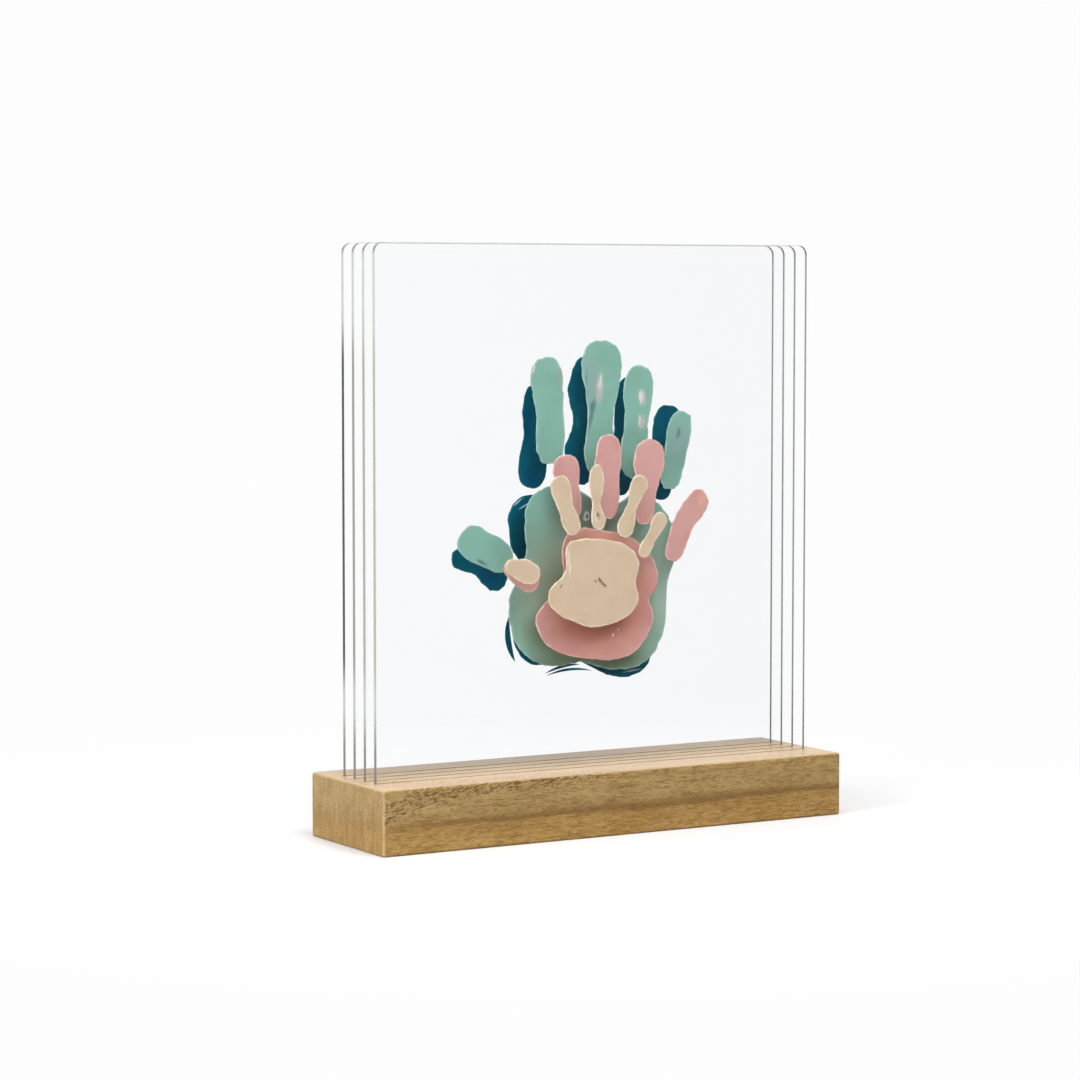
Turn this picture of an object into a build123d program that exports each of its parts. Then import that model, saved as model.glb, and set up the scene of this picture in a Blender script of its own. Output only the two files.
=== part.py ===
from build123d import *
import os

# A standing handprint display: four clear panels, each with one painted handprint, in a slotted wooden base.
# Millimetres, +Z up. The origin is the middle of the base's underside. X runs along the base, and -Y is
# the front.

os.makedirs("parts", exist_ok=True)

# Wooden base
base_length = 245.0
base_depth = 70.0
base_height = 29.5
base_edge_round = 1.2

# Clear panels
panel_width = 231.0
panel_thickness = 2.0
panel_rise = 240.0  # what stands above the top of the base
panel_corner_radius = 4.5
panel_edge_break = 0.2

# Slots in the base, counted from the front
first_slot_setback = 21.0  # from the front of the base to the middle of the first slot
slot_pitch = 10.0
slot_depth = 12.0
slot_side_clearance = 0.2  # on each face of a panel
slot_end_clearance = 0.5  # at each edge of a panel

# Paint
paint_thickness = 0.25
# A finger's rounded end, as shares of its width there: how far from the end it is full, and its shoulder
fingertip_length = 0.45
shoulder_length = 0.14
shoulder_half_width = 0.36

# The handprints, from the front panel to the rear one. Places are right and up from the middle of the panel's
# face above the base. A palm is a closed curve through its points. A finger is its root, its tip and its
# sections, evenly spaced from the root to the tip: each is its width, and how far it lies to the right of the
# straight line. A streak is its two ends and its two sides' middles.
baby_hand = {
    "palm": [
        (-17.6, -20.6), (-15.8, -16.6), (-10, -14.8), (2, -15.2), (13, -17.5), (20.3, -22.8), (22, -30),
        (20.2, -36.5), (22, -41.5), (18.5, -49.5), (8, -54.3), (-4, -55.5), (-16, -51.5), (-25.5, -45),
        (-26.5, -38), (-18.3, -30.3), (-17.2, -25),
    ],
    "fingers": {
        "thumb": ((-31.2, -31.0), (-49.0, -25.1), ((9.8, 0), (10.6, 0), (7.4, 0))),
        "index": ((-12.4, -12.7), (-22.0, 14.3), ((8.6, 0), (8.2, -0.5), (10.6, 0))),
        "middle": ((0.2, -10.7), (-1.2, 19.3), ((7.4, 0), (4.6, -0.8), (7.8, -0.3), (6.6, 0))),
        "ring": ((12.9, -14.6), (23.6, 13.5), ((8.8, 0), (5.6, 0), (9.0, 0))),
        "little": ((23.2, -24.2), (35.6, -4.4), ((6.4, 0), (5.4, 0), (8.0, 0))),
    },
    "streaks": {},
}
child_hand = {
    "palm": [
        (-13.8, -18), (-9, -11.8), (-1, -10.4), (10, -12.2), (20, -14.2), (28.5, -19), (36, -27.5),
        (38.4, -35.5), (36, -41.5), (33, -44.8), (35.3, -50), (34.5, -58), (29, -66.5), (18, -72), (5, -71.6),
        (-8, -69.8), (-19, -65.8), (-26.5, -57.5), (-28, -51), (-21.2, -42.5), (-13.3, -31),
    ],
    "fingers": {
        "thumb": ((-27.2, -36.8), (-43.8, -25.2), ((10.4, 0), (10.8, 0), (9.2, 0))),
        "index": ((-7.8, -6.2), (-13.0, 23.7), ((10.6, 0), (10.6, 0.3), (14.0, 0))),
        "middle": ((10.6, -6.6), (11.0, 32.6), ((11.4, 0), (14.0, -0.9), (12.6, 0.2))),
        "ring": ((30.4, -10.1), (34.2, 29.7), ((9.8, 0), (10.4, 0), (14.6, 0), (16.6, 0))),
        "little": ((44.6, -27.2), (63.2, 4.7), ((9.6, 0), (11.4, -1.9), (11.6, 0))),
    },
    "streaks": {},
}
mother_hand = {
    "palm": [
        (-27.6, -1), (-23, 5.5), (-15, 9), (-5, 8.5), (3, 5), (10, 0.5), (22, -0.5), (30, 4), (38, 3.2),
        (45, -2), (51, -9.5), (54.5, -19), (53.4, -28), (50, -36), (48.6, -53), (47, -62), (42, -71),
        (34, -77), (24, -78.4), (12, -76.6), (2, -73.6), (-6, -74.6), (-18, -74), (-28, -69), (-34.4, -60.5),
        (-36.8, -50), (-35.8, -40), (-32, -33), (-28.5, -24), (-28.2, -12),
    ],
    "fingers": {
        "thumb": ((-35.6, -25.9), (-62.8, -12.6), ((14.8, 0), (15.4, 0), (15.6, 0))),
        "index": ((-14.4, 18.8), (-17.4, 68.4), ((14.0, 0), (14.8, 0.6), (16.6, 0))),
        "middle": ((11.8, 12.5), (13.0, 75.9), ((16.0, 0), (14.2, -0.2), (17.2, 0.2), (21.2, 0))),
        "ring": ((30.0, 11.0), (33.9, 63.8), ((14.6, 0), (13.2, 0), (15.6, 0))),
        "little": ((49.6, 5.4), (58.0, 42.2), ((10.6, 0), (12.6, 0), (12.2, 0))),
    },
    "streaks": {},
}
father_hand = {
    "palm": [
        (-31.8, -9.5), (-30.2, -1), (-25, 3.6), (-16, 4.4), (-4, 3.5), (6, -0.5), (16, -3.5), (28, -3),
        (38, -2.5), (46, -9), (49, -22), (47.5, -38), (48.5, -55), (46.8, -70), (43, -79), (32, -83.2),
        (20, -80.8), (8, -75), (-4, -72.5), (-17, -75), (-25.6, -69.8), (-29.6, -60.5), (-29, -51),
        (-25, -38), (-26, -26.5), (-30.6, -19),
    ],
    "fingers": {
        "thumb": ((-33.4, -36.0), (-61.3, -21.5), ((12.2, 0), (7.6, 0), (9.4, 0))),
        "index": ((-19.8, 7.3), (-15.2, 56.0), ((14.8, 0), (12.6, 0), (15.0, 0))),
        "middle": ((6.6, 8.4), (11.6, 68.0), ((14.4, 0), (18.4, 0), (11.6, 0), (19.6, 0), (17.2, 0))),
        "ring": ((27.5, 2.9), (35.8, 58.6), ((13.0, 0), (13.0, 0), (15.2, 0))),
        "little": ((51.2, -0.2), (56.2, 44.7), ((10.6, 0), (13.4, -0.4), (15.8, 0))),
    },
    "streaks": {
        "heel": ((-31.6, -51.5), (-28.3, -72.7), (-33.6, -61), (-30.7, -61)),
        "upper_wrist": ((-12.2, -79.2), (6.8, -75.9), (-4, -75.9), (-3.2, -77.1)),
        "lower_wrist": ((-11.5, -80.3), (13.5, -79.3), (2, -77.3), (1.8, -78.5)),
    },
}
hands = {"baby": baby_hand, "child": child_hand, "mother": mother_hand, "father": father_hand}

# What follows from the sizes above
panel_height = panel_rise + slot_depth
slot_floor = base_height - slot_depth
slot_width = panel_thickness + 2 * slot_side_clearance
slot_length = panel_width + 2 * slot_end_clearance
slot_middles = [first_slot_setback - base_depth / 2 + slot_pitch * place for place in range(len(hands))]


def finger_outline(root, tip, sections):
    """Points round a finger's dab, from its root up one side, over the tip and down the other side."""
    start, end = Vector(*root), Vector(*tip)
    along = (end - start).normalized()
    side = along.rotate(Axis.Z, -90)
    length = (end - start).length
    root_width, tip_width = sections[0][0], sections[-1][0]
    first_reach = fingertip_length * root_width
    section_pitch = (length - fingertip_length * tip_width - first_reach) / (len(sections) - 1)
    # How far along the finger each pair of points is, half the width there, and how far it lies aside
    stations = [(shoulder_length * root_width, shoulder_half_width * root_width, 0)]
    for place, (width, aside) in enumerate(sections):
        stations.append((first_reach + place * section_pitch, width / 2, aside))
    stations.append((length - shoulder_length * tip_width, shoulder_half_width * tip_width, 0))
    right = [start + along * reach + side * (aside + half) for reach, half, aside in stations]
    left = [start + along * reach + side * (aside - half) for reach, half, aside in reversed(stations)]
    return [start, *right, end, *left]


def write_piece(piece, name):
    """Labels a finished piece and writes it as the node of that name."""
    piece.label = name
    export_step(piece, f"parts/{name}.step")


# The base: an eased block with one blind slot for each panel
with BuildPart() as wooden_base:
    Box(base_length, base_depth, base_height, align=(Align.CENTER, Align.CENTER, Align.MIN))
    fillet(wooden_base.edges(), radius=base_edge_round)
    with BuildSketch(Plane.XY.offset(base_height)):
        with Locations([(0, middle) for middle in slot_middles]):
            Rectangle(slot_length, slot_width)
    extrude(amount=-slot_depth, mode=Mode.SUBTRACT)
write_piece(wooden_base.part, "wooden_base")

for (owner, hand), middle in zip(hands.items(), slot_middles):
    front_face = middle - panel_thickness / 2

    # The panel stands on the floor of its slot
    with BuildPart() as panel:
        with BuildSketch(Plane.XZ.offset(-middle)):
            with Locations((0, slot_floor + panel_height / 2)):
                RectangleRounded(panel_width, panel_height, panel_corner_radius)
        extrude(amount=panel_thickness / 2, both=True)
        outer_faces = panel.faces().filter_by(Axis.Y)
        chamfer(outer_faces.edges(), length=panel_edge_break)
    write_piece(panel.part, f"{owner}_panel")

    # The paint lies on the panel's front face
    paint_plane = Plane(
        origin=(0, front_face, base_height + panel_rise / 2), x_dir=(1, 0, 0), z_dir=(0, -1, 0)
    )
    outlines = {"palm": hand["palm"]}
    for finger, shape in hand["fingers"].items():
        outlines[finger] = finger_outline(*shape)
    for dab_name, outline in outlines.items():
        with BuildPart() as dab:
            with BuildSketch(paint_plane):
                with BuildLine():
                    Spline(*outline, periodic=True)
                make_face()
            extrude(amount=paint_thickness)
        write_piece(dab.part, f"{owner}_{dab_name}_print")

    for streak_name, (start, end, outer_side, inner_side) in hand["streaks"].items():
        with BuildPart() as streak:
            with BuildSketch(paint_plane):
                with BuildLine():
                    ThreePointArc(start, outer_side, end)
                    ThreePointArc(end, inner_side, start)
                make_face()
            extrude(amount=paint_thickness)
        write_piece(streak.part, f"{owner}_{streak_name}_streak")
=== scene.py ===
"""The finish of a standing handprint display: bare wood, clear panels and dried paint, in a white studio."""

import math

import bmesh
import bpy
from mathutils import Matrix, Vector, noise


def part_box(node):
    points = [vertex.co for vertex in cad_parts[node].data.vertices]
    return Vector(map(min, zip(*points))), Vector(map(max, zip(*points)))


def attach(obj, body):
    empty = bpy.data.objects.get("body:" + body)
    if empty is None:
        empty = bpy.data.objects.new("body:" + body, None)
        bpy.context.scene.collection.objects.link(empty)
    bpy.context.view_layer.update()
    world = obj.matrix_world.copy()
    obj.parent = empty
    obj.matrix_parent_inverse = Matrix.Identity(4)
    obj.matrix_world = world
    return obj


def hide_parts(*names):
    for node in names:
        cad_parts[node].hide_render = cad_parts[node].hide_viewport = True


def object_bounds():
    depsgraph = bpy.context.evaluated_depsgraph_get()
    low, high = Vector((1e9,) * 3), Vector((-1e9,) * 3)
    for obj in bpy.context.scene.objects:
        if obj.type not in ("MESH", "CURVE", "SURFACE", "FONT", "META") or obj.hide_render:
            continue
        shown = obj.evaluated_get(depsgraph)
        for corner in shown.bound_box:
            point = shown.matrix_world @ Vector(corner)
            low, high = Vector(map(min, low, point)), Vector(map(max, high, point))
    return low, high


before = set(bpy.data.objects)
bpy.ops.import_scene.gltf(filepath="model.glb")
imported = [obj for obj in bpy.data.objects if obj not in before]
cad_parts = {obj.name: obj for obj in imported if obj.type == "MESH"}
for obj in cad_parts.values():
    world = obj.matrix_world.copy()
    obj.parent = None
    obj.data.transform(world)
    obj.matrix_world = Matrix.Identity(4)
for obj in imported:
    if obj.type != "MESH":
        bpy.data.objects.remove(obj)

CAD_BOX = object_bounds()

MM = 0.001

# What recurs below: a grain is how fine a pattern is, in cells per millimetre, the same all ways or along
# X, Y and Z. A ramp is two levels of a pattern, or two places, and the share or value that each gets. Where
# only the first two are given, the first gets none and the second all. A relief is the strength and the depth
# of a bump. Colours of three numbers are as read off a screen, from 0 to 255.

# Camera: where the photograph was taken from, in metres and degrees
CAMERA_PLACE = (-0.8049, -1.3312, 0.2473)
CAMERA_TURN = -30.451
CAMERA_TILT = -4.201
CAMERA_CLIP = (0.05, 50.0)
PHOTO_SIDE = 1080
FOCAL_LENGTH_PIXELS = 3369.6
SENSOR = 36.0

# Studio, in metres and watts
WHITE = 0.985  # what the backdrop and the far floor are seen as
DARK_SIDE = 0.12  # what polished faces mirror of the room behind the camera
DARK_DIRECTIONS = (0.1, -0.3)  # along Y of a mirrored direction, into that room
DARK_FLOOR = (0.1, -0.4)  # along Y, onto that room's floor
SKY_LIGHT = 0.32
FLOOR_HALF_SIDE = 6.0
FLOOR_TILES = 8
FLOOR_TONE = 0.8
FLOOR_GRAIN = 300.0  # in cells per metre
FLOOR_GRAIN_TONE = 0.01  # how far the floor's tone strays to each side
FLOOR_BOUNCE = 0.5  # how much of its light the floor gives back to the object
FLOOR_MIRRORED = 0.6  # how far polished faces mirror the floor by the object as the dark room
SHADOW_REACH = (0.16, 0.4)  # from the middle of the object, over which the floor melts into the backdrop
LAMPS = {
    "key_softbox": {"place": (0.12, -0.95, 1.35), "size": 0.9, "power": 12.5, "mirrored": True},
    "front_fill": {"place": (-0.85, -1.25, 0.75), "size": 0.8, "power": 5.6, "mirrored": True},
    "overhead_softbox": {"place": (0.0, -0.1, 1.6), "size": 0.9, "power": 8.5, "mirrored": True},
    "end_fill": {"place": (-1.5, -0.35, 0.6), "size": 0.8, "power": 18.0, "mirrored": False},
    "back_fill": {"place": (0.55, 1.35, 0.75), "size": 0.9, "power": 9.0, "mirrored": False},
}
LAMP_AIM = (0.0, 0.0, 0.12)

# Clear panels
CORNER_RADIUS = 4.5 * MM
CORNER_SEGMENTS = 10
EDGE_BREAK = 0.2 * MM
EDGE_BREAK_SEGMENTS = 2
FACE_ON = 0.99  # the broad faces are those whose normals point further than this along Y
ACRYLIC_TINT = (0.996, 0.998, 1.0, 1.0)
ACRYLIC_THROUGH = (0.98, 0.985, 0.99, 1.0)  # what is left of light that goes straight through
ACRYLIC_MIRROR = 0.09
ACRYLIC_INDEX = 1.49
RUBBED_GRAIN = (0.02, 0.02, 0.05)
RUBBED_ROUGHNESS = (0.5, 0.8, 0.0, 0.02)
WAVE_GRAIN = 0.01
WAVE_RELIEF = (0.05, 0.02 * MM)

# Their cut edges, in millimetres of height where not said otherwise
EDGE_TONE = (186, 188, 186)
EDGE_FAR = (142, 142, 144)  # painted shade: the far edge is darker, as seen through the sheet
EDGE_FAR_DEPTH = 2.0  # from the panel's far side
EDGE_CORNER = (92, 94, 92)
EDGE_CORNER_SIDE = (5.0, 2.5)  # from the panel's side
EDGE_CORNER_TOP = (5.5, 2.5)  # from the panel's top
EDGE_CORNER_SHARE = 0.8
EDGE_FOOT = (122, 117, 108)  # just above the base, where the edge mirrors its slot
EDGE_FOOT_RAMP = (64.0, 40.0)
EDGE_TINT_BELOW = (64.0, 86.0)  # painted light, the paint's colour that the sheet carries to its edge, begins and ends over these heights
EDGE_TINT_ABOVE = (240.0, 215.0)
SAW_GRAIN = (0.4, 3.0, 0.4)
SAW_TONE = (0.35, 0.65, 0.0, 0.2)
SAW_ROUGHNESS = (0.3, 0.7, 0.2, 0.35)
SAW_RELIEF = (0.2, 0.02 * MM)

# Wood
NEAR_END = CAD_BOX[0][0] / MM
FRONT = CAD_BOX[0][1] / MM
WOOD_GOLD = (174, 136, 73)
WOOD_OLIVE = (168, 140, 87)
WOOD_PALE = (194, 164, 110)
WOOD_RING = (118, 82, 38)
WOOD_PORE = (84, 54, 22)
# The next three colours are painted light: the lit top, its shaded rear and highlights along its edges
WOOD_TOP_LIT = (238, 202, 166)
WOOD_SHADE = (134, 110, 88)
WOOD_EDGE_HIGHLIGHT = (228, 202, 162)
WOOD_ROUGHNESS = (0.3, 0.7, 0.26, 0.36)
WOOD_SPECULAR = 0.3
WOOD_RELIEF = (0.35, 0.12 * MM)
FIBRE_HEIGHT = 0.4

# Its patterns, drawn out along X, and their ramps
DRIFT_GRAIN = (0.011, 0.02, 0.02)
RAGGED_GRAIN = (0.06, 0.5, 0.5)
FIBRE_GRAIN = (0.05, 1.5, 1.5)
DARK_FIBRE = (0.44, 0.7, 0.0, 0.5)
FLECK_GRAIN = (0.32, 1.5, 1.5)
PALE_FLECK = (0.5, 0.35, 0.0, 0.66)
DARK_FLECK = (0.5, 0.65, 0.0, 0.66)
MOTTLE_GRAIN = (0.05, 0.1, 0.1)
PALE_MOTTLE = (0.58, 0.3, 0.0, 0.25)
DARK_MOTTLE = (0.45, 0.75, 0.0, 0.22)

# Its end grain, of upright rays and fine speckle
END_SKIN = (0.8, 0.1)  # from the end, in millimetres
RAY_GRAIN = (0.02, 0.42, 0.07)
RAY_SHARE = 0.55
SPECKLE_GRAIN = (0.02, 1.0, 1.2)
SPECKLE_SHARE = 0.45
END_DARK = (0.49, 0.62, 0.0, 0.35)
END_PALE = (0.51, 0.38, 0.0, 0.45)

# Its dark growth ring, in millimetres
RING_LEVEL = 18.55  # where the ring is darkest, on a height that the next three warp
RING_DRIFT = 9.0
RING_RAGGED = 2.4
RING_TILT = -0.016
RING_BROAD = 20.0  # where along the block the ring is broadest
RING_SPREAD = (140.0, 10.0, 2.6, 6.5)  # how broad it is, by the distance from there
RING_LOWER_EDGE = (-0.4, 0.12)  # in shares of its breadth
RING_FADE = (1.0, 0.0)
RING_PATCHES = (0.25, 0.55, 0.75, 0.95)
RING_BY_END = (0.0, 2.0, 0.3, 1.0)  # from the near end
RING_STRENGTH = 0.8
RING_HALO = (9.0, 0.0, 0.0, 0.22)
OLIVE_OVER_RING = (-2.0, 2.0)

# Its open pores, in millimetres and degrees
PORE_SLOPE = 13.0  # how steeply the pores climb to the right
PORE_EDGE = (0.07, -0.05)
PORE_STRENGTH = 0.75
PORE_ROUGHNESS = 0.25
LONG_PORES = {"grain": (0.24, 1.6, 1.6), "fill": 0.6}
SHORT_PORES = {"grain": (0.42, 2.7, 2.7), "fill": 0.7, "strength": 0.8}
FINE_PORES = {"grain": (0.5, 2.4, 2.4), "fill": 0.3, "strength": 0.6}
LAYER_TOP = 29.2  # the coarse pores' layer climbs to this height from the near end
LAYER_CLIMB = 12.5
LAYER_RUN = 18.0
LAYER_DIP = 0.35  # how steeply the layer leaves the front face
LAYER_END = 18.0  # where along the front it has thinned out
LAYER_FADE = 30.0
LAYER_HALF_HEIGHTS = (9.0, 4.0)  # at the near end and where it has thinned out
LAYER_EDGE = (1.0, 0.35)
LAYER_BY_END = (0.0, 1.5, 0.25, 1.0)  # from the near end
LAYER_ONSET = (0.0, 0.3)
BETWEEN_PORES = 0.3

# Painted light on its top, pale by its front and its near end and shaded by its rear, and painted highlights
# along its edges, in millimetres
TOP_SKIN = (0.5, 0.05)  # under the top
LIT_FRONT = (-22.0, 24.0, 0.47, 0.0)  # along Y
LIT_FAR_END = (70.0, 122.0, 1.0, 0.85)  # along X
LIT_NEAR_END = (24.0, 4.0, 0.0, 0.36)  # from the near end
SHADED_REAR = (6.0, 26.0, 0.0, 0.6)  # along Y
SHADED_NEAR_END = (4.0, 40.0, 0.3, 1.0)  # from the near end
HIGHLIGHT_WANDER = 0.8
HIGHLIGHT_BAND = (-1.0, 0.6)  # across each face of the block
HIGHLIGHT_ENDS = 0.3
HIGHLIGHT_CORNER = 0.42
NEAR_CORNER = (-100.0, -140.0)  # along X and Y together

# Paint. Each has its colour, the colour where it pooled, that of its rim, pale from thin paint and a painted
# highlight, the colour that it gives to its panel's edges, which is painted light that the sheet carries from
# the paint, and how far its outline wavers. A spot is its tone, its middle, half its width and height, how
# far it is turned to the left and how strong it is. Places and sizes are in millimetres from the middle of
# the panel's face, turns in degrees.
FACE_MIDDLE = 149.5
SPOT_DEPTH = 1000.0  # spots go right through the paint
SPOT_EDGE = (1.1, 0.35)  # in shares of a spot's half size
SPOT_GRAIN = (1.3, 1.3, 0.3)
SMALL_SPOT = 14.0  # spots of less than this half size have dragged edges, larger ones are smooth
SMALL_DRAG = 1.3
BROAD_DRAG = 0.15
CLOUD_GRAIN = 0.07
CLOUD_POOLED = (0.42, 0.72, 0.0, 0.7)
DRAG_GRAIN = (0.8, 0.8, 0.12)
DRAG_POOLED = (0.5, 0.8, 0.0, 0.2)
DRAG_HEIGHT = 0.6
SKIN_GRAIN = 1.1
SKIN_ROUGHNESS = (0.3, 0.7, 0.4, 0.58)
SKIN_HEIGHT = 0.4
RIM_GRAIN = 0.25
RIM_PATCHES = (0.4, 0.62, 0.1, 0.9)
PAINT_RELIEF = (0.4, 0.06 * MM)
PAINT_OUTSIDE = (0.5, -0.5)  # along Y of the normal
PAINT_SPECULAR = 0.08
PAINTS = {
    "baby": {
        "slot": "cream_paint",
        "paint": (202, 181, 156),
        "deep": (194, 170, 144),
        "rim": (232, 218, 194),
        "edge": (166, 166, 146),
        "wobble": 0.34,
        "tones": {
            "slit": (128, 88, 76),
            "pit": (120, 98, 80),
            "pale": (236, 224, 208),
        },
        "spots": [
            ("slit", (1.0, -34.3), (2.4, 1.0), -48, 0.95),
            ("slit", (3.0, -36.3), (2.0, 0.9), -42, 0.95),
            ("slit", (-1.6, -34.4), (1.4, 0.6), -20, 0.6),
            ("slit", (-20.0, -36.0), (0.45, 1.5), -25, 0.85),
            ("pale", (-0.9, -4.9), (1.7, 3.0), 10, 0.6),
            ("pit", (-0.4, -4.4), (1.2, 2.5), 8, 0.95),
            ("pale", (-0.3, -5.0), (0.5, 0.9), 0, 0.7),
            ("pale", (-15.6, -26.0), (1.0, 7.0), 5, 0.5),
        ],
    },
    "child": {
        "slot": "pink_paint",
        "paint": (208, 158, 152),
        "deep": (198, 145, 137),
        "rim": (232, 200, 190),
        "edge": (160, 152, 151),
        "wobble": 0.44,
        "tones": {
            "highlight": (242, 226, 222),
            "warm_shade": (204, 136, 116),
            "peach": (222, 170, 142),
            "brick_shadow": (166, 98, 82),
            "blush": (230, 170, 152),
        },
        "spots": [
            # Painted shade: the palm darker and redder, most of all just under the cream print in front of it
            # and a little on its right
            ("warm_shade", (5.0, -42.0), (36.0, 34.0), 0, 0.85),
            ("brick_shadow", (4.0, -55.0), (25.0, 10.0), 4, 0.6),
            ("brick_shadow", (30.0, -46.0), (9.0, 16.0), 0, 0.18),
            # Painted light: the top of the palm paler, where more light falls on it
            ("blush", (6.0, -13.5), (26.0, 6.5), -8, 0.9),
            ("peach", (4.5, 13.0), (1.2, 6.0), 0, 0.7),
            ("peach", (-37.0, -31.0), (5.0, 2.0), -34, 0.6),
            # Painted highlights: two small glints on the paint
            ("highlight", (13.5, -60.8), (1.4, 0.6), 60, 0.8),
            ("highlight", (16.4, -58.4), (0.6, 0.5), 0, 0.7),
            ("peach", (62.5, 1.0), (3.0, 4.6), -20, 0.5),
        ],
    },
    "mother": {
        "slot": "sage_paint",
        "paint": (134, 180, 164),
        "deep": (125, 168, 150),
        "rim": (178, 200, 194),
        "edge": (128, 136, 131),
        "wobble": 0.56,
        "tones": {
            "pale": (226, 220, 216),
            "mist": (140, 166, 161),
            "fog": (124, 154, 146),
            "slate": (92, 118, 124),
            "blush": (208, 194, 188),
            "taupe": (160, 162, 150),
            "olive_shade": (168, 174, 146),
            "moss_shade": (106, 116, 90),
            "pit": (92, 98, 82),
            "lit_side": (170, 194, 176),
            "umber_shade": (112, 114, 98),
            "drop": (255, 252, 246),
        },
        "spots": [
            # Painted shade: the palm greyed and warmed where the prints in front of it shade it, darkest
            # along its bottom and lower left
            ("olive_shade", (8.0, -42.0), (52.0, 48.0), 0, 0.85),
            ("moss_shade", (6.0, -74.0), (40.0, 9.0), 0, 0.7),
            ("moss_shade", (-16.0, -60.0), (16.0, 12.0), -30, 0.55),
            # Painted light: the palm's right side paler, where more light falls on it
            ("lit_side", (47.0, -40.0), (8.0, 28.0), 0, 0.85),
            # Painted shade: the palm darker between the cream fingers in front of it
            ("umber_shade", (9.0, -5.0), (27.0, 11.0), -8, 0.65),
            ("taupe", (-24.0, 66.0), (1.4, 7.0), -16, 0.8),
            ("pale", (-23.6, 63.5), (0.6, 3.2), -10, 0.9),
            ("taupe", (-9.8, 60.0), (1.2, 8.0), 8, 0.6),
            ("mist", (7.6, 57.0), (6.0, 13.5), 8, 0.8),
            ("slate", (4.4, 58.0), (0.7, 4.5), -4, 0.5),
            ("blush", (11.6, 53.5), (2.7, 9.0), -4, 0.5),
            ("pale", (12.0, 56.6), (1.3, 5.4), -8, 0.6),
            ("slate", (8.0, 44.5), (1.9, 5.0), -14, 0.85),
            ("slate", (5.8, 37.0), (1.8, 6.4), -20, 0.75),
            ("mist", (4.2, 30.0), (1.6, 8.0), 0, 0.7),
            ("blush", (35.2, 48.8), (2.4, 4.6), 6, 0.8),
            ("pale", (34.4, 49.4), (1.5, 3.6), 6, 0.75),
            ("blush", (34.8, 37.4), (2.6, 4.0), 0, 0.6),
            ("pale", (33.6, 38.4), (0.8, 3.0), -10, 0.7),
            ("fog", (54.5, 24.0), (9.0, 15.0), -14, 0.6),
            ("mist", (56.5, 30.0), (4.0, 10.0), -14, 0.7),
            ("slate", (55.2, 31.7), (1.4, 3.6), -10, 0.7),
            ("drop", (4.7, -5.7), (1.9, 2.6), -10, 1.0),
            ("pit", (4.9, -5.7), (1.2, 1.8), -10, 0.95),
            ("mist", (22.0, -3.0), (6.0, 2.2), 10, 0.6),
            ("slate", (-51.2, -25.0), (3.6, 1.2), -26, 0.9),
            ("mist", (-35.0, -31.8), (5.0, 1.1), -20, 0.8),
            ("taupe", (-58.0, -9.0), (1.2, 5.0), -40, 0.6),
        ],
    },
    "father": {
        "slot": "blue_paint",
        "paint": (0, 96, 116),
        "deep": (0, 80, 95),
        "rim": (24, 116, 132),
        "edge": (10, 26, 26),
        "wobble": 0.46,
        "tones": {
            "glint": (206, 230, 234),
            "wash": (30, 122, 138),
            "navy": (6, 74, 116),
            "pool": (0, 68, 82),
            "cyan": (16, 146, 160),
        },
        "spots": [
            ("pool", (-25.0, -14.0), (8.0, 17.0), 0, 0.7),
            ("glint", (-27.0, 1.2), (0.45, 4.0), -55, 0.95),
            ("glint", (-23.5, -0.6), (0.35, 3.0), -62, 0.9),
            ("wash", (-16.5, -22.0), (0.9, 5.0), 4, 0.7),
            ("wash", (-29.0, -62.0), (1.2, 9.0), 8, 0.7),
            ("wash", (2.0, -74.0), (12.0, 1.0), 4, 0.7),
            ("cyan", (5.0, -78.0), (6.0, 3.0), -6, 1.0),
            ("cyan", (9.5, -78.4), (5.0, 3.0), -6, 1.0),
            ("glint", (10.0, -75.4), (7.0, 0.4), -14, 0.7),
            ("glint", (36.0, -80.4), (6.0, 0.5), 6, 0.6),
            ("wash", (5.0, 38.0), (1.4, 4.0), 6, 0.7),
            # Painted light: the middle finger lifted where the sage print in front shades it
            ("wash", (4.0, 44.0), (8.0, 16.0), 0, 0.3),
            ("navy", (-22.0, 36.0), (3.0, 12.0), 0, 0.6),
            ("navy", (-19.0, 12.0), (6.0, 9.0), 0, 0.45),
            ("navy", (5.0, 52.0), (3.0, 9.0), 0, 0.3),
            ("navy", (6.0, 14.0), (7.0, 10.0), 0, 0.5),
            ("navy", (54.0, 40.0), (5.0, 5.0), 0, 0.2),
            ("navy", (-42.0, -32.0), (9.0, 6.0), -26, 0.6),
        ],
    },
}

# Paint films, in metres
FILM_BED = 0.08 * MM  # how far the paint keys into the face of its panel
FILM_FLAT = 0.05 * MM  # a face within this depth of a node's back is part of it
WELD = 0.002 * MM  # points of a node that are closer than this are one
CUT_WELD = 0.001 * MM
OUTLINE_STEP = 0.3 * MM  # the shortest step of a film's outline
FILM_GRID = 1.0 * MM  # the size of the cells that carry the relief of its face
WALL_HEIGHT = 0.11 * MM  # how far its edge stands off the panel
# Inset and rise of each step of a film's rim, and how much of the rim's colour it has
RIM_STEPS = ((0.14 * MM, 0.08 * MM, 1.0), (0.3 * MM, 0.06 * MM, 0.7), (0.6 * MM, -0.05 * MM, 0.0))
# Broad and fine swells of a film's outline and of its face: the size of each, and the fine one's share
OUTLINE_SWELLS = (5.0 * MM, 1.8 * MM, 0.8)
FACE_SWELLS = (5.0 * MM, 2.2 * MM, 0.6)
FACE_RELIEF = 0.05 * MM


def linear(colour):
    """A screen colour of 0 to 255 as linear light."""
    def channel(value):
        value /= 255
        return value / 12.92 if value <= 0.04045 else ((value + 0.055) / 1.055) ** 2.4
    return (*(channel(value) for value in colour), 1.0)


def grey(level):
    """A grey of that linear level."""
    return (level, level, level, 1.0)


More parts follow.
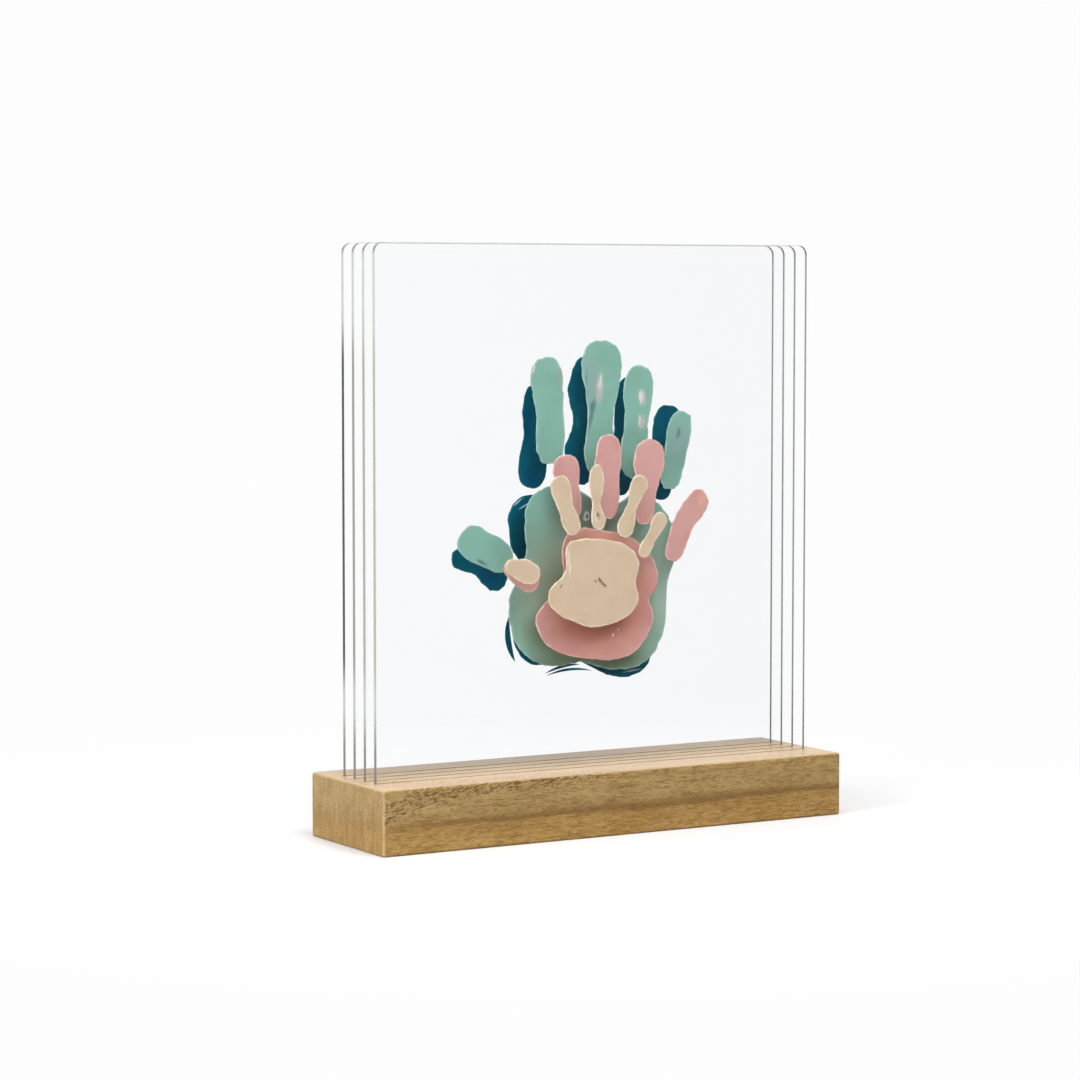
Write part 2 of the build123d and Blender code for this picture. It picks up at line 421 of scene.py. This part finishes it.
class Graph:
    """Short calls for the nodes that the finishes are made of."""

    def __init__(self, tree):
        self.tree = tree

    def link(self, source, target):
        self.tree.links.new(source, target)

    def node(self, kind, inputs=None, **settings):
        """A node with those settings. Each input is another node's socket or a value."""
        made = self.tree.nodes.new(kind)
        for name, value in settings.items():
            setattr(made, name, value)
        for name, value in (inputs or {}).items():
            if isinstance(value, bpy.types.NodeSocket):
                self.link(value, made.inputs[name])
            else:
                made.inputs[name].default_value = value
        return made

    def filled(self, group, inputs):
        """What a node group gives for those inputs."""
        return self.node("ShaderNodeGroup", inputs, node_tree=group).outputs

    def maths(self, operation, *values, clamp=False):
        made = self.node("ShaderNodeMath", dict(enumerate(values)), operation=operation, use_clamp=clamp)
        return made.outputs[0]

    def product(self, first, *others):
        """All the values, multiplied."""
        for other in others:
            first = self.maths("MULTIPLY", first, other)
        return first

    def ramp(self, value, low, high, bottom=0.0, top=1.0, kind="LINEAR"):
        """Carries a value between two levels over to between two others."""
        inputs = {"Value": value, "From Min": low, "From Max": high, "To Min": bottom, "To Max": top}
        return self.node("ShaderNodeMapRange", inputs, interpolation_type=kind).outputs[0]

    def smooth(self, value, low, high, bottom=0.0, top=1.0):
        """A ramp with soft ends."""
        return self.ramp(value, low, high, bottom, top, "SMOOTHSTEP")

    def mix(self, factor, first, second):
        """A mix of two colours, by the numbers of the node's colour sockets."""
        made = self.node("ShaderNodeMix", {0: factor, 6: first, 7: second}, data_type="RGBA")
        return made.outputs[2]

    def layered(self, colour, layers):
        """A colour under layers, each of a mask and a screen colour."""
        for mask, tone in layers:
            colour = self.mix(mask, colour, linear(tone))
        return colour

    def noise(self, place, scale, detail=2.0, roughness=0.5, distortion=0.0):
        inputs = {
            "Vector": place,
            "Scale": scale,
            "Detail": detail,
            "Roughness": roughness,
            "Distortion": distortion,
        }
        return self.node("ShaderNodeTexNoise", inputs).outputs["Fac"]

    def stretched(self, place, scale):
        return self.node("ShaderNodeMapping", {"Vector": place, "Scale": scale}).outputs[0]

    def grain(self, place, scale, **settings):
        """Noise with a scale of its own along each axis."""
        return self.noise(self.stretched(place, scale), 1.0, **settings)

    def tilted(self, place, degrees):
        """A place turned about the Y axis, so that a pattern along X climbs to the right."""
        turn = (0.0, math.radians(degrees), 0.0)
        return self.node("ShaderNodeMapping", {"Vector": place, "Rotation": turn}).outputs[0]

    def object_place(self):
        """Where the surface is, in metres."""
        return self.node("ShaderNodeTexCoord").outputs["Object"]

    def millimetres(self):
        """Where the surface is, in millimetres."""
        return self.stretched(self.object_place(), (1 / MM, 1 / MM, 1 / MM))

    def axes(self, vector):
        return self.node("ShaderNodeSeparateXYZ", {0: vector}).outputs

    def length(self, vector):
        return self.node("ShaderNodeVectorMath", {0: vector}, operation="LENGTH").outputs["Value"]

    def bump(self, height, strength, distance):
        """A normal that follows a height."""
        inputs = {"Strength": strength, "Distance": distance, "Height": height}
        return self.node("ShaderNodeBump", inputs).outputs[0]

    def principled(self, inputs):
        return self.node("ShaderNodeBsdfPrincipled", inputs).outputs[0]


def new_material(name):
    """An empty material, its graph and the input of its surface."""
    material = bpy.data.materials.new(name)
    material.use_nodes = True
    material.node_tree.nodes.clear()
    graph = Graph(material.node_tree)
    return material, graph, graph.node("ShaderNodeOutputMaterial").inputs["Surface"]


def new_group(name, inputs, outputs):
    """An empty node group with those sockets, its graph, what it is given and what it puts out."""
    group = bpy.data.node_groups.new(name, "ShaderNodeTree")
    for label, kind in inputs.items():
        group.interface.new_socket(label, in_out="INPUT", socket_type=f"NodeSocket{kind}")
    for label, kind in outputs.items():
        group.interface.new_socket(label, in_out="OUTPUT", socket_type=f"NodeSocket{kind}")
    graph = Graph(group)
    return group, graph, graph.node("NodeGroupInput").outputs, graph.node("NodeGroupOutput").inputs


def spot_group():
    """A soft-edged oval on the face of a panel, dragged a little up and down."""
    group, graph, given, out = new_group(
        "paint_spot",
        {
            "Place": "Vector",
            "Centre": "Vector",
            "Turn": "Vector",
            "Radii": "Vector",
            "Drag": "Float",
            "Strength": "Float",
        },
        {"Mask": "Float"},
    )
    inputs = {
        "Vector": given["Place"],
        "Location": given["Centre"],
        "Rotation": given["Turn"],
        "Scale": given["Radii"],
    }
    local = graph.node("ShaderNodeMapping", inputs, vector_type="TEXTURE").outputs[0]
    dragged = graph.grain(given["Place"], SPOT_GRAIN, detail=3.0, distortion=0.6)
    off_mean = graph.maths("SUBTRACT", dragged, 0.5)
    ragged = graph.maths("MULTIPLY_ADD", off_mean, given["Drag"], graph.length(local))
    graph.link(graph.product(graph.smooth(ragged, *SPOT_EDGE), given["Strength"]), out["Mask"])
    return group


def dried_paint_group():
    """Mottled colour, sheen and fine relief of dried hand paint."""
    group, graph, given, out = new_group(
        "dried_paint",
        {"Place": "Vector", "Paint": "Color", "Deep": "Color"},
        {"Color": "Color", "Roughness": "Float", "Height": "Float"},
    )
    place = given["Place"]
    cloud = graph.noise(place, CLOUD_GRAIN, detail=3.0, roughness=0.55)
    skin = graph.noise(place, SKIN_GRAIN, detail=4.0, roughness=0.6)
    drag = graph.grain(place, DRAG_GRAIN, detail=3.0, distortion=0.8)
    pooled = graph.maths("ADD", graph.smooth(cloud, *CLOUD_POOLED), graph.smooth(drag, *DRAG_POOLED))
    height = graph.maths("MULTIPLY_ADD", drag, DRAG_HEIGHT, graph.product(skin, SKIN_HEIGHT))
    graph.link(graph.mix(pooled, given["Paint"], given["Deep"]), out["Color"])
    graph.link(graph.smooth(skin, *SKIN_ROUGHNESS), out["Roughness"])
    graph.link(height, out["Height"])
    return group


def paint_material(look, film_group, oval_group):
    """One person's paint, with the places where it smeared, thinned or pooled, spots of painted shade and
    light, and a rim that is paler from thin paint and a painted highlight.
    """
    material, graph, surface = new_material(look["slot"])
    place = graph.millimetres()
    inputs = {"Place": place, "Paint": linear(look["paint"]), "Deep": linear(look["deep"])}
    film = graph.filled(film_group, inputs)
    layers = []
    for tone, (across, up), (half_width, half_height), turn, strength in look["spots"]:
        small = max(half_width, half_height) < SMALL_SPOT
        oval = graph.filled(oval_group, {
            "Place": place,
            "Centre": (across, 0.0, FACE_MIDDLE + up),
            "Turn": (0.0, -math.radians(turn), 0.0),
            "Radii": (half_width, SPOT_DEPTH, half_height),
            "Drag": SMALL_DRAG if small else BROAD_DRAG,
            "Strength": strength,
        })
        layers.append((oval["Mask"], look["tones"][tone]))
    # The rim is paler: thin paint there, and a painted highlight where the raised edge catches the light
    rim = graph.node("ShaderNodeAttribute", attribute_name="rim").outputs["Fac"]
    patchy = graph.smooth(graph.noise(place, RIM_GRAIN, detail=3.0), *RIM_PATCHES)
    layers.append((graph.product(rim, patchy), look["rim"]))
    # The back of the paint takes the flatness of the panel
    normal = graph.node("ShaderNodeNewGeometry").outputs["True Normal"]
    outside = graph.smooth(graph.axes(normal)["Y"], *PAINT_OUTSIDE)
    shader = graph.principled({
        "Base Color": graph.layered(film["Color"], layers),
        "Roughness": film["Roughness"],
        "Normal": graph.bump(graph.product(film["Height"], outside), *PAINT_RELIEF),
        "Specular IOR Level": PAINT_SPECULAR,
    })
    graph.link(shader, surface)
    return material


def acrylic_material():
    """Clear polished sheet with faint rubbing marks. Light reaches what is behind it straight through."""
    material, graph, surface = new_material("clear_acrylic")
    place = graph.millimetres()
    rubbed = graph.grain(place, RUBBED_GRAIN, detail=5.0, roughness=0.6)
    wave = graph.noise(place, WAVE_GRAIN, detail=1.0)
    clear = graph.principled({
        "Base Color": ACRYLIC_TINT,
        "Roughness": graph.smooth(rubbed, *RUBBED_ROUGHNESS),
        "IOR": ACRYLIC_INDEX,
        "Transmission Weight": 1.0,
        "Specular Tint": grey(ACRYLIC_MIRROR),
        "Normal": graph.bump(wave, *WAVE_RELIEF),
    })
    through = graph.node("ShaderNodeBsdfTransparent", {"Color": ACRYLIC_THROUGH}).outputs[0]
    path = graph.node("ShaderNodeLightPath").outputs
    straight = graph.maths("MAXIMUM", path["Is Shadow Ray"], path["Is Diffuse Ray"])
    shader = graph.node("ShaderNodeMixShader", {0: straight, 1: clear, 2: through})
    graph.link(shader.outputs[0], surface)
    return material


def edge_material(owner, tint):
    """The cut edge of a sheet, fine-sawn, with painted light: the tint of the paint whose colour the sheet
    carries to it, painted shade on the far edge and the painted reflection of its slot at its foot.
    """
    material, graph, surface = new_material(f"{owner}_panel_edge")
    place = graph.millimetres()
    axes = graph.axes(place)
    half_width, _, top = (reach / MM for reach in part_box(f"{owner}_panel")[1])
    saw = graph.grain(place, SAW_GRAIN, detail=3.0)
    far = graph.smooth(axes["X"], half_width - EDGE_FAR_DEPTH, half_width)
    tinted = graph.product(
        graph.smooth(axes["Z"], *EDGE_TINT_BELOW),
        graph.smooth(axes["Z"], *EDGE_TINT_ABOVE),
        graph.smooth(axes["X"], half_width / 2, -half_width / 2),
    )
    sides = [half_width - depth for depth in EDGE_CORNER_SIDE]
    tops = [top - depth for depth in EDGE_CORNER_TOP]
    corner = graph.product(
        graph.smooth(graph.maths("ABSOLUTE", axes["X"]), *sides),
        graph.smooth(axes["Z"], *tops, 0.0, EDGE_CORNER_SHARE),
    )
    # Painted shade on the far edge, the paint's colour as painted light and the slot's painted reflection by
    # the foot, among the edge's own tones
    layers = [
        (far, EDGE_FAR),
        (tinted, tint),
        (corner, EDGE_CORNER),
        (graph.smooth(axes["Z"], *EDGE_FOOT_RAMP), EDGE_FOOT),
        (graph.smooth(saw, *SAW_TONE), EDGE_FOOT),
    ]
    shader = graph.principled({
        "Base Color": graph.layered(linear(EDGE_TONE), layers),
        "Roughness": graph.smooth(saw, *SAW_ROUGHNESS),
        "Normal": graph.bump(saw, *SAW_RELIEF),
    })
    graph.link(shader, surface)
    return material


def wood_material():
    """Bare sanded hardwood: a dark growth ring along the block, open pores and a satin face, with painted
    light on its top, painted shade by the top's rear and painted highlights along its edges.
    """
    material, graph, surface = new_material("bare_wood")
    place = graph.millimetres()
    axes = graph.axes(place)
    from_end = graph.maths("SUBTRACT", axes["X"], NEAR_END)
    ragged = graph.grain(place, RAGGED_GRAIN, detail=3.0)
    fibre = graph.grain(place, FIBRE_GRAIN, detail=4.0, roughness=0.7)
    fleck = graph.grain(place, FLECK_GRAIN, detail=4.0, roughness=0.7)
    mottle = graph.grain(place, MOTTLE_GRAIN, detail=4.0, roughness=0.6)
    ring, over_ring = growth_ring(graph, place, axes, from_end, ragged)
    end_dark, end_pale = end_grain(graph, place, axes)
    pores, between = open_pores(graph, place, axes, from_end)
    top_lit, top_shaded = top_light(graph, axes, from_end)
    layers = [
        (graph.smooth(over_ring, *OLIVE_OVER_RING), WOOD_OLIVE),
        (graph.smooth(mottle, *PALE_MOTTLE), WOOD_PALE),
        (graph.smooth(fleck, *PALE_FLECK), WOOD_PALE),
        (graph.smooth(mottle, *DARK_MOTTLE), WOOD_RING),
        (graph.smooth(fibre, *DARK_FIBRE), WOOD_RING),
        (graph.smooth(fleck, *DARK_FLECK), WOOD_RING),
        (ring, WOOD_RING),
        (end_dark, WOOD_RING),
        (end_pale, WOOD_PALE),
        (graph.product(between, BETWEEN_PORES), WOOD_PALE),
        (graph.product(pores, PORE_STRENGTH), WOOD_PORE),
        # Painted light on the top and painted shade by its rear, then painted highlights along the edges
        (top_lit, WOOD_TOP_LIT),
        (top_shaded, WOOD_SHADE),
        (edge_highlights(graph, axes, ragged), WOOD_EDGE_HIGHLIGHT),
    ]
    height = graph.maths("SUBTRACT", graph.product(fibre, FIBRE_HEIGHT), pores)
    satin = graph.smooth(fibre, *WOOD_ROUGHNESS)
    shader = graph.principled({
        "Base Color": graph.layered(linear(WOOD_GOLD), layers),
        "Roughness": graph.maths("ADD", satin, graph.product(pores, PORE_ROUGHNESS)),
        "Normal": graph.bump(height, *WOOD_RELIEF),
        "Specular IOR Level": WOOD_SPECULAR,
    })
    graph.link(shader, surface)
    return material


def growth_ring(graph, place, axes, from_end, ragged):
    """The dark ring, and how far a place lies over it. The ring is darkest at its lower edge and fades
    upwards, over a height that changes along the block."""
    drift = graph.grain(place, DRIFT_GRAIN)
    level = graph.maths("MULTIPLY_ADD", drift, RING_DRIFT, axes["Z"])
    level = graph.maths("MULTIPLY_ADD", ragged, RING_RAGGED, level)
    level = graph.maths("MULTIPLY_ADD", axes["X"], RING_TILT, level)
    over_ring = graph.maths("SUBTRACT", level, RING_LEVEL)
    off_broad = graph.maths("ABSOLUTE", graph.maths("SUBTRACT", axes["X"], RING_BROAD))
    in_ring = graph.maths("DIVIDE", over_ring, graph.smooth(off_broad, *RING_SPREAD))
    ring = graph.product(
        graph.smooth(in_ring, *RING_LOWER_EDGE),
        graph.smooth(in_ring, *RING_FADE),
        graph.smooth(drift, *RING_PATCHES),
        graph.smooth(from_end, *RING_BY_END),
        RING_STRENGTH,
    )
    halo = graph.smooth(graph.maths("ABSOLUTE", over_ring), *RING_HALO)
    return graph.maths("MAXIMUM", ring, halo), over_ring


def end_grain(graph, place, axes):
    """The dark and the pale of the grain on the two ends."""
    rays = graph.grain(place, RAY_GRAIN, detail=4.0, roughness=0.6)
    speckle = graph.grain(place, SPECKLE_GRAIN, detail=3.0, roughness=0.65)
    grain = graph.maths("MULTIPLY_ADD", speckle, SPECKLE_SHARE, graph.product(rays, RAY_SHARE))
    skin = [-NEAR_END - depth for depth in END_SKIN]
    at_end = graph.smooth(graph.maths("ABSOLUTE", axes["X"]), *skin)
    dark = graph.product(at_end, graph.smooth(grain, *END_DARK))
    pale = graph.product(at_end, graph.smooth(grain, *END_PALE))
    return dark, pale


def open_pores(graph, place, axes, from_end):
    """Short dark pores, coarse ones in a layer that climbs to the front's top edge and fine ones all over,
    and the pale wood between the coarse ones."""
    climb = graph.maths("EXPONENT", graph.maths("DIVIDE", from_end, -LAYER_RUN))
    layer = graph.maths("MULTIPLY_ADD", climb, -LAYER_CLIMB, LAYER_TOP)
    layer = graph.maths("MULTIPLY_ADD", graph.maths("SUBTRACT", axes["Y"], FRONT), LAYER_DIP, layer)
    half_height = graph.ramp(axes["X"], NEAR_END, LAYER_END, *LAYER_HALF_HEIGHTS)
    off_layer = graph.maths("ABSOLUTE", graph.maths("SUBTRACT", axes["Z"], layer))
    zone = graph.product(
        graph.smooth(graph.maths("DIVIDE", off_layer, half_height), *LAYER_EDGE),
        graph.smooth(axes["X"], LAYER_END, LAYER_END - LAYER_FADE),
        graph.smooth(from_end, *LAYER_BY_END),
    )
    climbing = graph.tilted(place, PORE_SLOPE)

    def dashes(scale, fill):
        inputs = {"Vector": graph.stretched(climbing, scale), "Scale": 1.0}
        cells = graph.node("ShaderNodeTexVoronoi", inputs).outputs
        chance = graph.node("ShaderNodeSeparateColor", {0: cells["Color"]}).outputs[0]
        short = graph.maths("SUBTRACT", cells["Distance"], graph.product(chance, fill))
        return graph.smooth(short, *PORE_EDGE)

    long_ones = dashes(LONG_PORES["grain"], graph.product(zone, LONG_PORES["fill"]))
    short_ones = dashes(SHORT_PORES["grain"], graph.product(zone, SHORT_PORES["fill"]))
    coarse = graph.maths("MAXIMUM", long_ones, graph.product(short_ones, SHORT_PORES["strength"]))
    coarse = graph.product(coarse, graph.smooth(zone, *LAYER_ONSET))
    fine = graph.product(dashes(FINE_PORES["grain"], FINE_PORES["fill"]), FINE_PORES["strength"])
    return graph.maths("MAXIMUM", coarse, fine), graph.maths("SUBTRACT", zone, coarse, clamp=True)


def top_light(graph, axes, from_end):
    """Painted light on the block's top, pale where light falls by its front and its near end, and painted
    shade by its rear, where the panels take light away.
    """
    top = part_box("wooden_base")[1][2] / MM
    skin = [top - depth for depth in TOP_SKIN]
    on_top = graph.smooth(axes["Z"], *skin)
    by_front = graph.product(
        on_top, graph.smooth(axes["Y"], *LIT_FRONT), graph.smooth(axes["X"], *LIT_FAR_END)
    )
    by_end = graph.product(on_top, graph.smooth(from_end, *LIT_NEAR_END))
    by_rear = graph.product(
        on_top, graph.smooth(axes["Y"], *SHADED_REAR), graph.smooth(from_end, *SHADED_NEAR_END)
    )
    return graph.maths("MAXIMUM", by_front, by_end), by_rear


def edge_highlights(graph, axes, ragged):
    """Painted highlights where the block's edges catch the light: across its ends' tops and down its near
    corner.
    """
    low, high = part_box("wooden_base")
    nears = {}
    for axis, first, last in zip("XYZ", low, high):
        middle, half = (first + last) / 2 / MM, (last - first) / 2 / MM
        out = graph.maths("ABSOLUTE", graph.maths("SUBTRACT", axes[axis], middle))
        band = [half + reach for reach in HIGHLIGHT_BAND]
        nears[axis] = graph.smooth(graph.maths("MULTIPLY_ADD", ragged, HIGHLIGHT_WANDER, out), *band)
    near_corner = graph.smooth(graph.maths("ADD", axes["X"], axes["Y"]), *NEAR_CORNER)
    ends = graph.product(nears["Z"], nears["X"], HIGHLIGHT_ENDS)
    corner = graph.product(nears["X"], nears["Y"], near_corner, HIGHLIGHT_CORNER)
    return graph.maths("MAXIMUM", ends, corner)


def outline_face(node):
    """A bmesh of one face: the outline of a paint node, lying on its panel and seen from the front."""
    shape = bmesh.new()
    shape.from_mesh(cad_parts[node].data)
    bmesh.ops.remove_doubles(shape, verts=shape.verts, dist=WELD)
    back = max(vertex.co.y for vertex in shape.verts)
    spare = [face for face in shape.faces if any(back - vertex.co.y > FILM_FLAT for vertex in face.verts)]
    bmesh.ops.delete(shape, geom=spare, context="FACES")
    bmesh.ops.dissolve_faces(shape, faces=shape.faces)
    bmesh.ops.remove_doubles(shape, verts=shape.verts, dist=OUTLINE_STEP)
    face = next(iter(shape.faces))
    face.normal_update()
    if face.normal.y > 0:
        bmesh.ops.reverse_faces(shape, faces=[face])
    return shape, face


def swells(place, broad, fine, fine_share):
    """A smooth wander of about plus and minus one, of broad swells and fine ones on them."""
    return noise.noise(place / broad) + noise.noise(place / fine) * fine_share


def sliced(shape, faces, axis):
    """Cuts flat faces across an axis at every step of the film's grid, and gives the slices."""
    normal = Vector((0.0, 0.0, 0.0))
    normal[axis] = 1.0
    reaches = [vertex.co[axis] for face in faces for vertex in face.verts]
    done, rest = [], faces
    for step in range(math.ceil(min(reaches) / FILM_GRID), math.ceil(max(reaches) / FILM_GRID)):
        level = step * FILM_GRID
        parts = {part for face in rest for part in (face, *face.edges, *face.verts)}
        cut = bmesh.ops.bisect_plane(
            shape, geom=list(parts), dist=CUT_WELD, plane_co=normal * level, plane_no=normal
        )
        made = [part for part in cut["geom"] if isinstance(part, bmesh.types.BMFace)]
        rest = [face for face in made if face.calc_center_median()[axis] > level]
        done += [face for face in made if face.calc_center_median()[axis] <= level]
    return done + rest


def paint_film(node, material, wobble):
    """A film of paint with a wavering edge, a raised rim and a worked face, in the place of a paint node."""
    shape, face = outline_face(node)
    rim = shape.verts.layers.float.new("rim")
    for vertex in shape.verts:
        aside = vertex.co + Vector((1.0, 1.0, 1.0))
        across, up = swells(vertex.co, *OUTLINE_SWELLS), swells(aside, *OUTLINE_SWELLS)
        vertex.co += Vector((across * wobble, FILM_BED, up * wobble))
    for line in face.edges:
        line.smooth = False  # the back stays flat up to its edge
    raised = bmesh.ops.extrude_face_region(shape, geom=[face], use_keep_orig=True)["geom"]
    face = next(part for part in raised if isinstance(part, bmesh.types.BMFace))
    bmesh.ops.translate(shape, verts=face.verts, vec=(0.0, -WALL_HEIGHT - FILM_BED, 0.0))
    for line in face.edges:
        line.smooth = True
    for vertex in face.verts:
        vertex[rim] = 1.0
    for inset, rise, share in RIM_STEPS:
        bmesh.ops.inset_region(shape, faces=[face], thickness=inset, depth=rise)
        for vertex in face.verts:
            vertex[rim] = share
    cells = set(sliced(shape, sliced(shape, [face], 0), 2))
    for vertex in {vertex for cell in cells for vertex in cell.verts}:
        if cells.issuperset(vertex.link_faces):
            vertex.co.y -= FACE_RELIEF * swells(vertex.co, *FACE_SWELLS)
    bmesh.ops.recalc_face_normals(shape, faces=shape.faces)
    return new_piece(node + "_film", shape, [material])


def panel_sheet(owner, clear, edge):
    """A clear sheet with rounded corners and broken edges, in the place of a panel node."""
    low, high = (Vector(corner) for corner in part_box(f"{owner}_panel"))
    middle, size = (low + high) / 2, high - low
    upright = Matrix.Translation(middle) @ Matrix.Rotation(math.radians(90), 4, "X")
    shape = bmesh.new()
    bmesh.ops.create_grid(shape, x_segments=1, y_segments=1, size=0.5)
    bmesh.ops.scale(shape, verts=shape.verts, vec=(size.x, size.z, 1.0))
    rounding = {"profile": 0.5, "material": -1}
    bmesh.ops.bevel(
        shape, geom=shape.verts, affect="VERTICES", offset=CORNER_RADIUS, segments=CORNER_SEGMENTS, **rounding
    )
    bmesh.ops.translate(shape, verts=shape.verts, vec=(0.0, 0.0, -size.y / 2))
    raised = bmesh.ops.extrude_face_region(shape, geom=shape.faces, use_keep_orig=True)["geom"]
    raised_points = [part for part in raised if isinstance(part, bmesh.types.BMVert)]
    bmesh.ops.translate(shape, verts=raised_points, vec=(0.0, 0.0, size.y))
    bmesh.ops.recalc_face_normals(shape, faces=shape.faces)
    rims = [line for line in shape.edges if abs(line.verts[0].co.z - line.verts[1].co.z) < size.y / 2]
    bmesh.ops.bevel(
        shape, geom=rims, affect="EDGES", offset=EDGE_BREAK, segments=EDGE_BREAK_SEGMENTS, **rounding
    )
    bmesh.ops.transform(shape, matrix=upright, verts=shape.verts)
    bmesh.ops.recalc_face_normals(shape, faces=shape.faces)
    for face in shape.faces:
        face.material_index = 0 if abs(face.normal.y) > FACE_ON else 1
    return new_piece(f"{owner}_clear_sheet", shape, [clear, edge], smooth=False)


def new_piece(name, shape, materials, smooth=True):
    """An object from a bmesh."""
    mesh = bpy.data.meshes.new(name)
    shape.to_mesh(mesh)
    shape.free()
    if smooth:
        mesh.shade_smooth()
    for material in materials:
        mesh.materials.append(material)
    piece = bpy.data.objects.new(name, mesh)
    bpy.context.scene.collection.objects.link(piece)
    return piece


def stand_in(piece, node, body):
    """Puts a finished piece in the place of a node of the frame."""
    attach(piece, body)
    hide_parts(node)


def dress(node, material):
    """Gives a node of the frame its finish."""
    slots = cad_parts[node].data.materials
    slots.clear()
    slots.append(material)


def backdrop_level(graph, path, dark_side):
    """What rays that are seen, mirrored or passed through get of the backdrop, which rays those are, and
    which of them are mirrored."""
    seen = graph.maths("ADD", path["Is Camera Ray"], path["Is Glossy Ray"])
    seen = graph.maths("ADD", seen, path["Is Transmission Ray"], clamp=True)
    mirrored = graph.maths("GREATER_THAN", path["Glossy Depth"], 0.5)
    dimmed = graph.product(mirrored, dark_side)
    level = graph.product(seen, graph.maths("MULTIPLY_ADD", dimmed, DARK_SIDE - WHITE, WHITE))
    return level, seen, mirrored


def make_floor():
    """A white floor that keeps the shadow near the object and melts into the backdrop further out."""
    shape = bmesh.new()
    bmesh.ops.create_grid(shape, x_segments=FLOOR_TILES, y_segments=FLOOR_TILES, size=FLOOR_HALF_SIDE)
    material, graph, surface = new_material("white_floor")
    place = graph.object_place()
    path = graph.node("ShaderNodeLightPath").outputs
    dark_side = graph.smooth(graph.axes(place)["Y"], *DARK_FLOOR)
    level, seen, mirrored = backdrop_level(graph, path, dark_side)
    grain = graph.noise(place, FLOOR_GRAIN, detail=3.0)
    tone = graph.mix(grain, grey(FLOOR_TONE - FLOOR_GRAIN_TONE), grey(FLOOR_TONE + FLOOR_GRAIN_TONE))
    tone = graph.mix(path["Is Diffuse Ray"], tone, grey(FLOOR_BOUNCE))
    tone = graph.mix(graph.product(mirrored, FLOOR_MIRRORED), tone, grey(DARK_SIDE))
    lit = graph.node("ShaderNodeBsdfDiffuse", {"Color": tone}).outputs[0]
    white = graph.node("ShaderNodeEmission", {"Color": grey(1.0), "Strength": level}).outputs[0]
    melted = graph.product(graph.smooth(graph.length(place), *SHADOW_REACH), seen)
    shader = graph.node("ShaderNodeMixShader", {0: melted, 1: lit, 2: white})
    graph.link(shader.outputs[0], surface)
    new_piece("studio_floor", shape, [material])


def make_world():
    """A white backdrop where it is seen, and soft light elsewhere."""
    world = bpy.data.worlds.new("studio")
    bpy.context.scene.world = world
    world.use_nodes = True
    world.node_tree.nodes.clear()
    graph = Graph(world.node_tree)
    direction = graph.node("ShaderNodeTexCoord").outputs["Generated"]
    path = graph.node("ShaderNodeLightPath").outputs
    dark_side = graph.smooth(graph.axes(direction)["Y"], *DARK_DIRECTIONS)
    level, seen, _ = backdrop_level(graph, path, dark_side)
    strength = graph.maths("MULTIPLY_ADD", graph.maths("SUBTRACT", 1.0, seen), SKY_LIGHT, level)
    sky = graph.node("ShaderNodeBackground", {"Color": grey(1.0), "Strength": strength})
    graph.node("ShaderNodeOutputWorld", {"Surface": sky.outputs[0]})


def make_lamps():
    """Square softboxes that face the object."""
    for name, lamp in LAMPS.items():
        light = bpy.data.lights.new(name, "AREA")
        light.size = lamp["size"]
        light.energy = lamp["power"]
        holder = bpy.data.objects.new(name, light)
        holder.location = lamp["place"]
        holder.rotation_euler = (Vector(LAMP_AIM) - holder.location).to_track_quat("-Z", "Y").to_euler()
        holder.visible_glossy = lamp["mirrored"]
        holder.visible_transmission = lamp["mirrored"]
        bpy.context.scene.collection.objects.link(holder)


def make_camera():
    """The photograph's own viewpoint."""
    lens = bpy.data.cameras.new("camera")
    lens.sensor_width = SENSOR
    lens.lens = FOCAL_LENGTH_PIXELS / PHOTO_SIDE * SENSOR
    lens.clip_start, lens.clip_end = CAMERA_CLIP
    camera = bpy.data.objects.new("camera", lens)
    camera.location = CAMERA_PLACE
    camera.rotation_euler = (math.radians(90 + CAMERA_TILT), 0.0, math.radians(CAMERA_TURN))
    bpy.context.scene.collection.objects.link(camera)
    bpy.context.scene.camera = camera


dress("wooden_base", wood_material())
clear_acrylic = acrylic_material()
film_group = dried_paint_group()
oval_group = spot_group()
for owner, look in PAINTS.items():
    body = f"{owner}_sheet"
    sheet = panel_sheet(owner, clear_acrylic, edge_material(owner, look["edge"]))
    stand_in(sheet, f"{owner}_panel", body)
    paint = paint_material(look, film_group, oval_group)
    for node in sorted(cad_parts):
        if node.startswith(owner) and node.endswith("_print"):
            stand_in(paint_film(node, paint, look["wobble"] * MM), node, body)
        elif node.startswith(owner) and node.endswith("_streak"):
            dress(node, paint)

make_floor()
make_world()
make_lamps()
make_camera()
bpy.context.scene.view_settings.view_transform = "Standard"
